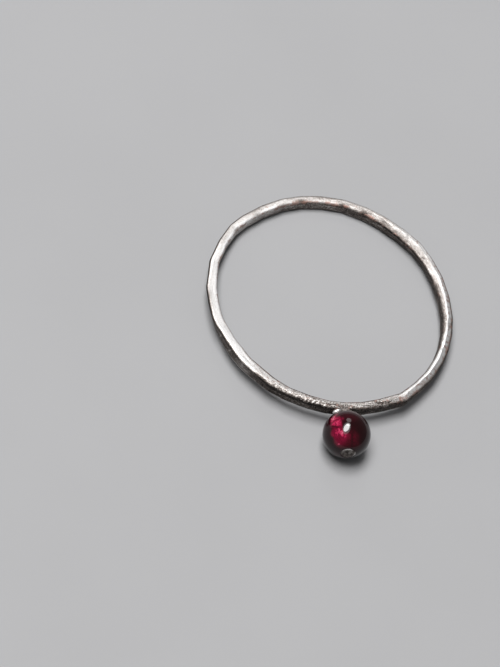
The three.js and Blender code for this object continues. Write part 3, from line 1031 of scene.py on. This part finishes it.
    def in_marks(self, points: np.ndarray, column: str) -> np.ndarray:
        """One column of MARKS summed at every point, with the bell curves that hammered() describes."""
        normals = grid_normals(points)
        radius = np.hypot(points[..., 0], points[..., 1])
        outward = (normals[..., 0] * points[..., 0] + normals[..., 1] * points[..., 1]) / radius
        s = self.sizes()
        total = np.zeros(points.shape[:2])
        for mark in MARKS:
            arc = np.radians(degrees_from(mark.at, self.station_angles()))
            along = (arc * self.hole_diameter / 2)[:, None]
            ends = ("inner", "outer", "top", "bottom")
            low, high, top, bottom = (np.interp(mark.at, s["at"], s[end], period=360) for end in ends)
            if mark.side in (Side.TOP, Side.UNDERSIDE):
                cross = radius - (low + mark.across * (high - low))
            else:
                cross = top + mark.across * (bottom - top) - points[..., 2]
            turn = math.radians(mark.turn)
            length = (along * math.cos(turn) + cross * math.sin(turn)) / mark.length
            width = (cross * math.cos(turn) - along * math.sin(turn)) / mark.width
            facing = outward * mark.side.value[0] + normals[..., 2] * mark.side.value[1]
            shown = step_between(*self.facing_fade, facing)
            total += getattr(mark, column) * bell(length) * bell(width) * shown
        return total

    def grain(self) -> np.ndarray:
        """A vector that runs slowly along the wire and quickly across it, so that noise on it is streaky.

        (k cos a, k sin a, w): a is the station's angle, w the way round the section in millimetres, and
        k the band's radius divided by the stretch.

        Returns:
            stations x points x 3.
        """
        outline = self.outlines().mean(axis=0)
        steps = np.linalg.norm(np.diff(outline, axis=0, append=outline[:1]), axis=1)
        way = np.concatenate(([0.0], np.cumsum(steps)[:-1]))
        turn = np.radians(self.station_angles())[:, None]
        k = self.hole_diameter / 2 / self.streak_stretch
        return np.stack(np.broadcast_arrays(k * np.cos(turn), k * np.sin(turn), way[None]), axis=-1)

    def tarnish_and_painted_light(self, shape: np.ndarray, rng: Random) -> np.ndarray:
        """How dark the silver's colour is, 0 polished to 1 black, from oxide and from painted light and
        shade.

        TONES makes the side walls dark with oxide and painted shade, and the top bright; PATCHES add
        bell-shaped places of oxide and of painted light and shade, MARKS their tones with painted glints on
        the nicks, and lumps uneven ones.

        Args:
            shape: the wire in the band's plane.
            rng: the seeded generator.

        Returns:
            stations x points.
        """
        around = self.around()[None, :]
        angles = self.station_angles()[:, None]
        tone = np.broadcast_to(along_stops(around, self.TONES), shape.shape[:2]).copy()
        for patch in PATCHES:
            along = degrees_from(patch.at, angles) / patch.long
            across = ((around - patch.around + 2) % 4 - 2) / patch.wide
            tone += patch.amount * bell(along) * bell(across)
        tone += self.uneven_tone * lumps(tone.shape, self.uneven_spread, rng) + self.in_marks(shape, "tone")
        return np.clip(tone, 0, 1)

    def wear(self, column: str) -> np.ndarray:
        """One column of WEAR at every station, as a column of the grid."""
        table = Wear(*np.array(WEAR, dtype=float).T)
        return np.interp(self.station_angles(), table.at, getattr(table, column))[:, None]

    def on_walls(self) -> np.ndarray:
        """1 on the walls and the underside, 0 on the top, as a row of the grid."""
        return along_stops(self.around(), self.WALLS)[None]

    def grit(self) -> np.ndarray:
        """How strongly the finish's patterns show: by WEAR on the top, and in full on the walls."""
        on_top = self.wear("grit")
        return on_top + (1 - on_top) * self.on_walls()

    def rust(self) -> np.ndarray:
        """How strongly the reddish stains show, by WEAR and in a thin line along the finger's upper edge."""
        outwards = step_between(*self.outer_half, self.around())[None]
        inner, outer = self.wear("inner_rust"), self.wear("outer_rust")
        on_top = inner + (outer - inner) * outwards
        at_edge = self.wear("edge_rust") * bell(self.around() / self.edge_rust_width)[None]
        return on_top + (self.wear("wall_rust") - on_top) * self.on_walls() + at_edge

    def surface(self, rng: Random) -> np.ndarray:
        """The finished wire in the band's plane, stations x points x 3."""
        return self.hammered(soften(self.chords(), self.softness), rng)

    def build(self, shape: np.ndarray, pose: RestPose, rng: Random) -> bpy.types.Object:
        """Makes the wire, worn flat where it rests.

        Args:
            shape: the wire in the band's plane.
            pose: how the ring lies.
            rng: the seeded generator.

        Returns:
            The wire's object.
        """
        points = pose.place(shape)
        points[..., 2] = np.maximum(points[..., 2], 0)
        tarnish_and_painted_light = self.tarnish_and_painted_light(shape, rng)
        return Surface("hammered_wire", points, closed_rows=True, tarnish_and_painted_light=tarnish_and_painted_light, grit=self.grit(),
                       rust=self.rust(), grain=self.grain()).build()


@dataclass
class PostLine:
    """The straight line of the post: it starts in the band's wall and carries solder, bead and head."""

    wire: HammeredWire
    at: float = 0.7
    lift: float = 4.0
    lean: float = 5.0

    def __post_init__(self) -> None:
        """Works out the start, the direction and the two directions across it."""
        sizes = self.wire.sizes()
        inner, outer = sizes["inner"][0], sizes["outer"][0]
        self.half_wall = (outer - inner) / 2
        self.wall = outer
        self.start = on_ring(self.at, (inner + outer) / 2, 0.0)
        rise = math.radians(self.lift)
        self.direction = on_ring(self.at - self.lean, math.cos(rise), math.sin(rise))
        self.side = unit(np.cross(self.direction, (0.0, 0.0, 1.0)))
        self.up = np.cross(self.side, self.direction)

    def turned(
        self, along: np.ndarray, radius: np.ndarray, count: int, flatten: np.ndarray | float = 1.0
    ) -> np.ndarray:
        """A profile carried round the line.

        The point at angle a is start + along direction + radius (cos a side + flatten sin a up).

        Args:
            along: the profile's distances along the line, rows or rows x count.
            radius: the profile's distances from it, rows or rows x count.
            count: how many columns go round.
            flatten: how much flatter it is upwards.

        Returns:
            rows x count x 3.
        """
        turn = full_turn(count)
        along, radius = (v[:, None] if v.ndim == 1 else v for v in (along, radius))
        across = radius * np.cos(turn)
        upwards = radius * np.sin(turn) * flatten
        along = np.broadcast_to(along, across.shape)
        return (self.start + along[..., None] * self.direction + across[..., None] * self.side
                + upwards[..., None] * self.up)


@dataclass
class Rivet:
    """The post and its peened head, which fills the bead's mouth.

    rim_at, rim_width and calm_centre are shares of the head's radius. Round the rim a highlight is painted
    at a few angles, each given with how far it reaches.
    """

    line: PostLine
    diameter: float = 0.72
    head_diameter: float = 1.14
    head_dome: float = 0.06
    dome_power: float = 0.6
    head_edge: float = 0.02
    face_margin: float = 0.01
    ragged: float = 0.035
    ragged_waves: range = range(2, 9)
    bump_height: float = 0.012
    bump_spread: Pair = (3.0, 5.0)
    slope: float = 0.03
    calm_centre: float = 0.25
    tone: float = 0.74
    uneven_tone: float = 0.08
    rim_at: float = 0.94
    rim_width: float = 0.06
    rim_highlight: float = 0.9
    rim_waves: float = 0.1
    highlight_arcs: tuple[Pair, ...] = ((1.1 * math.pi, 0.45), (0.45 * math.pi, 0.4))
    grit: float = 0.6
    grain_scale: float = 2.0
    dome_rows: int = 40
    rows_a_stretch: int = 12
    columns: int = 96

    def build(self, pose: RestPose, mouth: float, countersink: float, clearance: float,
              rng: Random) -> bpy.types.Object:
        """Makes the post, its cone and its hammered head.

        The profile runs out from the axis to the post, along it, out along the cone and over the dome.
        The head's rim is ragged by a few waves round it, and its face slopes a little and is lumpy.

        Args:
            pose: how the ring lies.
            mouth: where the bead's mouth lies along the post.
            countersink: how deep the bead's mouth is.
            clearance: the gap between metal and stone.
            rng: the seeded generator.

        Returns:
            The rivet's object.
        """
        rim = mouth - clearance
        post, head = self.diameter / 2, self.head_diameter / 2
        arc = np.linspace(0, np.pi / 2, self.dome_rows)
        dome = np.stack((rim + self.head_dome * np.sin(arc) ** self.dome_power, head * np.cos(arc)))
        corners = np.array(((0.0, 0.0, rim - countersink, rim - self.head_edge), (0.0, post, post, head)))
        steps = range(corners.shape[1])
        way = np.arange(self.rows_a_stretch * steps[-1]) / self.rows_a_stretch
        shank = np.stack([np.interp(way, steps, ends) for ends in corners])
        along, radius = np.concatenate((shank, dome), axis=1)
        turn = full_turn(self.columns)
        waves = ripples(turn, self.ragged_waves, rng)
        on_head = step_between(rim - countersink, rim, along)[:, None]
        ragged_radius = radius[:, None] * (1 + self.ragged * on_head * waves[None])
        points = self.line.turned(along, ragged_radius, self.columns)
        out, upwards = ((points - self.line.start) @ way for way in (self.line.direction, self.line.up))
        face = np.where(out > rim - self.face_margin, 1.0, 0.0)
        bumps = self.bump_height * lumps(face.shape, self.bump_spread, rng) + self.slope * upwards
        bumps *= face * step_between(0.0, self.calm_centre, radius / head)[:, None]
        points = points + bumps[..., None] * self.line.direction
        # Painted highlight: the head's rim is made brighter in its colour at the listed angles round it.
        at_rim = bell((radius / head - self.rim_at) / self.rim_width)[:, None] * face
        painted_highlight = sum(bell((turn - place) / reach) for place, reach in self.highlight_arcs) + self.rim_waves * waves
        uneven = self.tone + self.uneven_tone * lumps(face.shape, self.bump_spread, rng) * face
        return Surface("riveted_post", pose.place(points), grit=self.grit,
                       tarnish_and_painted_light=np.clip(uneven - self.rim_highlight * at_rim * painted_highlight[None], 0, 1),
                       grain=(points - self.line.start) * self.grain_scale).build()


@dataclass
class Solder:
    """The fillet where the post meets the band, and the drop that ran beside it.

    width, height and throat are the fillet's at the wall and at its narrow end; drop_at is in degrees.
    """

    line: PostLine
    width: float = 1.5
    height: float = 0.86
    throat: float = 0.8
    sunk: float = 0.04
    root: float = 0.2
    ragged: float = 0.05
    ragged_waves: range = range(2, 7)
    tone: float = 0.6
    grit: float = 0.8
    clearance: float = 0.05
    rows: int = 24
    columns: int = 72
    drop_size: Triple = (0.34, 0.66, 0.44)
    drop_at: float = -3.7
    drop_rise: float = 0.2
    drop_dents: float = 0.16
    dent_spread: Pair = (3.0, 4.0)
    drop_tone: float = 0.12
    tone_spread: Pair = (2.0, 3.0)
    drop_grit: float = 0.5
    drop_grid: tuple[int, int] = (29, 48)

    def fillet(self, pose: RestPose, gap: float, rng: Random) -> bpy.types.Object:
        """Makes the fillet: its width is throat + (width - throat) (1 - t)^3 from the wall up the post.

        It starts a little sunk in the wall, with its root inside, and gets flatter towards its full width.

        Args:
            pose: how the ring lies.
            gap: the gap between wall and bead.
            rng: the seeded generator.

        Returns:
            The fillet's object.
        """
        share = np.linspace(0, 1, self.rows)
        wall = self.line.half_wall
        reach = gap - self.clearance
        radius = self.throat / 2 + (self.width - self.throat) / 2 * (1 - share) ** 3
        along = wall - self.sunk + (reach + self.sunk) * share
        radius = np.concatenate(([0.0], radius, [self.throat / 4, 0.0]))
        along = np.concatenate(([wall - self.root], along, [wall + reach] * 2))
        waves = ripples(full_turn(self.columns), self.ragged_waves, rng)
        flatten = along_stops(radius, ((self.throat / 2, 1.0), (self.width / 2, self.height / self.width)))
        points = self.line.turned(along, radius[:, None] * (1 + self.ragged * waves[None]), self.columns,
                                  flatten[:, None])
        return Surface("solder_fillet", pose.place(points), tarnish_and_painted_light=self.tone, grit=self.grit,
                       grain=points - self.line.start).build()

    def drop(self, pose: RestPose, bead_centre: np.ndarray, bead_radius: float,
             rng: Random) -> bpy.types.Object:
        """Makes the drop: a lumpy oval sunk in the wall, its clearance away from the bead.

        Its axes run away from the bead, along the bead's seen outline and across both.

        Args:
            pose: how the ring lies.
            bead_centre: the bead's centre in the band's plane.
            bead_radius: the bead's radius.
            rng: the seeded generator.

        Returns:
            The drop's object.
        """
        wall = on_ring(self.drop_at, self.line.wall, self.drop_rise)
        away = unit(wall - bead_centre)
        along_stone = unit(np.cross(away, BeadView.FRONT.value[2]))
        axes = np.stack((away, along_stone, np.cross(away, along_stone)))
        axes *= np.array(self.drop_size)[:, None] / 2
        centre = bead_centre + away * (bead_radius + self.clearance + self.drop_size[0] / 2)
        rows, columns = self.drop_grid
        polar, turn = np.meshgrid(np.linspace(0, np.pi, rows), full_turn(columns), indexing="ij")
        ball = np.stack((np.sin(polar) * np.cos(turn), np.sin(polar) * np.sin(turn), np.cos(polar)), axis=-1)
        dents = self.drop_dents * np.minimum(lumps(polar.shape, self.dent_spread, rng), 0)
        points = centre + (ball * (1 + dents * np.sin(polar) ** 2)[..., None]) @ axes
        tarnish_and_painted_light = np.clip(self.drop_tone * lumps(polar.shape, self.tone_spread, rng), 0, 1)
        return Surface("solder_drop", pose.place(points), tarnish_and_painted_light=tarnish_and_painted_light, grit=self.drop_grit,
                       grain=points - centre).build()


@dataclass
class GarnetBead:
    """The drilled bead: a sphere turned round the post's line, with countersunk mouths.

    light_warps are the sine waves that bend the light inside, each a height and its counts along x, y, z.
    """

    line: PostLine
    diameter: float = 3.65
    gap: float = 0.19
    hole_diameter: float = 0.8
    mouth_diameter: float = 1.22
    countersink: float = 0.14
    chip_depth: float = 0.02
    chip_width: float = 0.015
    chip_reach: float = 0.02
    chip_waves: range = range(3, 14)
    light_warps: tuple[tuple[float, tuple[float, ...]], ...] = ((0.05, (3, 0, 7)), (0.03, (0, 17, 0)))
    upward_warp: float = 0.6
    vein_warp: float = 0.3
    vein_fade: float = 0.1
    front_fade: Pair = (-0.05, 0.1)
    rows: int = 150
    columns: int = 160

    @property
    def radius(self) -> float:
        """Half the diameter."""
        return self.diameter / 2

    @property
    def along(self) -> float:
        """The centre's distance along the post's line."""
        return self.line.half_wall + self.gap + self.radius

    @property
    def centre(self) -> np.ndarray:
        """The centre in the band's plane."""
        return self.line.start + self.along * self.line.direction

    @property
    def mouth(self) -> float:
        """The far mouth's distance along the post's line."""
        return self.along + math.sqrt(self.radius**2 - (self.mouth_diameter / 2) ** 2)

    def build(self, pose: RestPose, rng: Random) -> bpy.types.Object:
        """Makes the bead as a closed ring of profile rows: hole, mouth, sphere, mouth.

        On the sphere radius = R sin(a) and distance = -R cos(a), with a between the mouths' rims. The
        rims are chipped a little by seeded waves.

        Args:
            pose: how the ring lies.
            rng: the seeded generator.

        Returns:
            The bead's object.
        """
        hole, mouth = self.hole_diameter / 2, self.mouth_diameter / 2
        first = math.asin(mouth / self.radius)
        angle = np.linspace(first, np.pi - first, self.rows)
        radius, along = self.radius * np.sin(angle), -self.radius * np.cos(angle)
        reach = along[-1]
        inset = reach - self.countersink
        radius = np.concatenate(([hole], radius, [hole, hole]))
        along = np.concatenate(([-inset], along, [inset, 0.0]))
        waves = ripples(full_turn(self.columns), self.chip_waves, rng)
        at_rim = bell((np.abs(along) - reach) / self.chip_width) * (radius < mouth + self.chip_reach)
        chipped = radius[:, None] * (1 + self.chip_depth * at_rim[:, None] * waves[None])
        lying = pose.place(self.line.turned(along + self.along, chipped, self.columns))
        outward = (lying - pose.place(self.centre)) / self.radius
        return Surface("garnet_stone", lying, closed_rows=True, glow=self.light_inside(outward, GLOWS),
                       dusk=self.light_inside(outward, DUSKS)).build()

    def seen_in(self, view: BeadView, outward: np.ndarray) -> tuple[np.ndarray, np.ndarray, np.ndarray]:
        """Each point's place right and up in a view's plane, and how much it belongs to that view."""
        right, up, out = (outward @ np.array(axis) for axis in view.value)
        return right, up, step_between(*self.front_fade, out)

    def light_inside(self, outward: np.ndarray, lights: tuple[InnerLight, ...]) -> np.ndarray:
        """How much light comes out of the stone at each point.

        Each light is an oval exp(-(x^2 + y^2)^edge) in the plane across its view direction. The plane is
        warped by sine waves, each a height times sin(counts . outward). A vein of VEINS darkens a thin
        straight line between two places of that plane and fades out beyond its ends.

        Args:
            outward: the points' places from the centre, as shares of the radius.
            lights: the ovals.

        Returns:
            An amount for every point, 0 to 1.
        """
        amount = np.zeros(outward.shape[:2])
        warp = sum(height * np.sin(outward @ np.array(counts)) for height, counts in self.light_warps)
        for light in lights:
            right, up, shown = self.seen_in(light.view, outward)
            turn = math.radians(light.turn)
            x, y = right - light.right + warp, up - light.up + self.upward_warp * warp
            wide = (x * math.cos(turn) + y * math.sin(turn)) / light.wide
            tall = (y * math.cos(turn) - x * math.sin(turn)) / light.tall
            amount += light.amount * np.exp(-((wide**2 + tall**2) ** light.edge)) * shown
        for vein in VEINS:
            right, up, shown = self.seen_in(vein.view, outward)
            line = np.array(vein.end) - vein.start
            way = unit(line)
            x, y = right - vein.start[0], up - vein.start[1]
            share = (x * way[0] + y * way[1]) / np.linalg.norm(line)
            aside = x * way[1] - y * way[0] + self.vein_warp * warp
            beyond = np.maximum(np.abs(share - 0.5) - 0.5, 0)
            amount *= 1 - vein.depth * bell(aside / vein.width) * bell(beyond / self.vein_fade) * shown
        return np.clip(amount, 0, 1)


def rest_pose(shape: np.ndarray, bead: GarnetBead) -> RestPose:
    """How the ring rests by itself: on the bead and on the underside of the band's far side.

    The tilt is found by halving a range until the lowest band point, worn by WORN_DEPTH millimetres, lies
    as low as the bead. The place on the floor is the frame's own: the bead's centre stays over its node's.

    Args:
        shape: the wire in the band's plane.
        bead: the bead.

    Returns:
        The pose.
    """
    low, high = 0.0, math.pi / 4
    for _ in range(TILT_HALVINGS):
        tilt = (low + high) / 2
        level = RestPose(tilt, np.zeros(3))
        lowest = level.place(shape)[..., 2].min() + WORN_DEPTH
        if lowest > level.place(bead.centre)[2] - bead.radius:
            low = tilt
        else:
            high = tilt
    centre = RestPose(low, np.zeros(3)).place(bead.centre)
    corners = np.array(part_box(Node.BEAD.value)) * PER_MM
    target = corners.mean(axis=0)
    target[2] = bead.radius
    return RestPose(low, target - centre)


@dataclass(frozen=True)
class PhotoCamera:
    """The camera: where it looks and from how far in millimetres, and its turns in degrees."""

    aim: Triple = (-6.65, -1.21, 1.0)
    distance: float = 223.34
    azimuth: float = -28.88
    elevation: float = 56.68
    roll: float = 28.11
    lens: float = 157.98
    sensor: float = 36.0
    nearest: float = 5.0

    def build(self) -> None:
        """Puts the camera on its sphere round the aim and turns it about its own view by the roll."""
        turn, rise = math.radians(self.azimuth), math.radians(self.elevation)
        back = Vector((math.sin(turn) * math.cos(rise), -math.cos(turn) * math.cos(rise), math.sin(rise)))
        level = Vector((math.cos(turn), math.sin(turn), 0.0))
        up = back.cross(level)
        roll = math.radians(self.roll)
        right = level * math.cos(roll) + up * math.sin(roll)
        data = bpy.data.cameras.new("photo_camera")
        data.lens = self.lens
        data.sensor_width = self.sensor
        data.clip_start = self.nearest * MM
        camera = add_object("photo_camera", data)
        place = (Vector(self.aim) + back * self.distance) * MM
        facing = Matrix((right, back.cross(right), back)).transposed().to_4x4()
        camera.matrix_world = Matrix.Translation(place) @ facing
        bpy.context.scene.camera = camera


@dataclass(frozen=True)
class Softbox:
    """One oval studio light that looks at the ring; its distance and size are in metres."""

    name: str
    towards: Triple
    distance: float
    size: Pair
    watts: float
    turn: float = 0.0

    def build(self) -> None:
        """Makes the light at its distance, turned about its own axis."""
        data = bpy.data.lights.new(self.name, "AREA")
        data.shape = "ELLIPSE"
        data.size, data.size_y = self.size
        data.energy = self.watts
        light = add_object(self.name, data)
        direction = Vector(self.towards).normalized()
        facing = direction.to_track_quat("Z", "Y").to_matrix().to_4x4()
        light.matrix_world = (Matrix.Translation(direction * self.distance) @ facing
                              @ Matrix.Rotation(math.radians(self.turn), 4, "Z"))


@dataclass(frozen=True)
class Studio:
    """A plain pale floor, soft light and the camera."""

    floor_radius: float = 3.0
    floor_corners: int = 96
    sky: Triple = (0.62, 0.62, 0.63)
    sky_strength: float = 0.32
    softboxes: tuple[Softbox, ...] = (
        Softbox("key_softbox", (-0.28, 0.06, 0.95), 1.04, (0.66, 1.2), 5.0, 82.0),
        Softbox("key_core", (-0.27, 0.10, 0.95), 1.02, (0.42, 0.76), 19.0, 77.0),
        Softbox("key_wing", (-0.11, 0.34, 0.93), 1.0, (0.26, 0.3), 2.0, 62.0),
        Softbox("back_softbox", (0.02, 0.70, 0.71), 1.4, (0.46, 0.6), 2.0),
    )

    def build(self) -> None:
        """Makes the floor as a round sheet, the sky and the lights."""
        turn = full_turn(self.floor_corners)
        rim = np.stack((np.cos(turn), np.sin(turn), np.zeros_like(turn)), axis=-1) * self.floor_radius
        mesh = bpy.data.meshes.new("studio_floor")
        mesh.from_pydata(rim.tolist(), [], [list(range(self.floor_corners))])
        floor = add_object("studio_floor", mesh)
        mesh.materials.append(FloorFinish().material())
        world = bpy.data.worlds.new("pale_room")
        world.use_nodes = True
        backdrop = world.node_tree.nodes["Background"]
        backdrop.inputs["Color"].default_value = (*self.sky, 1.0)
        backdrop.inputs["Strength"].default_value = self.sky_strength
        bpy.context.scene.world = world
        for softbox in self.softboxes:
            softbox.build()
        bpy.context.scene.view_settings.view_transform = "Standard"


def dress(piece: bpy.types.Object, material: bpy.types.Material, slot: Slot, node: Node) -> None:
    """Gives a piece its finish and its place in the frame.

    Args:
        piece: the finished object.
        material: its material.
        slot: the record's slot; not used.
        node: the frame's node that it stands for.
    """
    piece.data.materials.append(material)
    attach(piece, BODY)
    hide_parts(node.value)
    log.info("%s: %d faces, stands for %s", piece.name, len(piece.data.polygons), node.value)


def main() -> None:
    """Loads the frame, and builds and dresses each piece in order."""
    logging.basicConfig(level=logging.INFO, format="%(name)s: %(message)s")
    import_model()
    rng = np.random.default_rng(SEED)
    wire = HammeredWire()
    line = PostLine(wire)
    bead = GarnetBead(line)
    shape = wire.surface(rng)
    pose = rest_pose(shape, bead)
    log.info("tilt %.3f degrees, shift %s mm", math.degrees(pose.tilt), np.round(pose.shift, 3))
    silver = SilverFinish().material()
    solder = Solder(line)
    rivet = Rivet(line)
    clearance = (bead.mouth_diameter - rivet.head_diameter) / 2
    silver_pieces = (
        wire.build(shape, pose, rng),
        solder.fillet(pose, bead.gap, rng),
        solder.drop(pose, bead.centre, bead.radius, rng),
        rivet.build(pose, bead.mouth, bead.countersink, clearance, rng),
    )
    for piece in silver_pieces:
        dress(piece, silver, Slot.SILVER, Node.BAND)
    stone = bead.build(pose, rng)
    centre = tuple(float(c) for c in pose.place(bead.centre))
    dress(stone, GarnetFinish(centre, bead.radius).material(), Slot.GARNET, Node.BEAD)
    Studio().build()
    PhotoCamera().build()


if __name__ == "__main__":
    main()
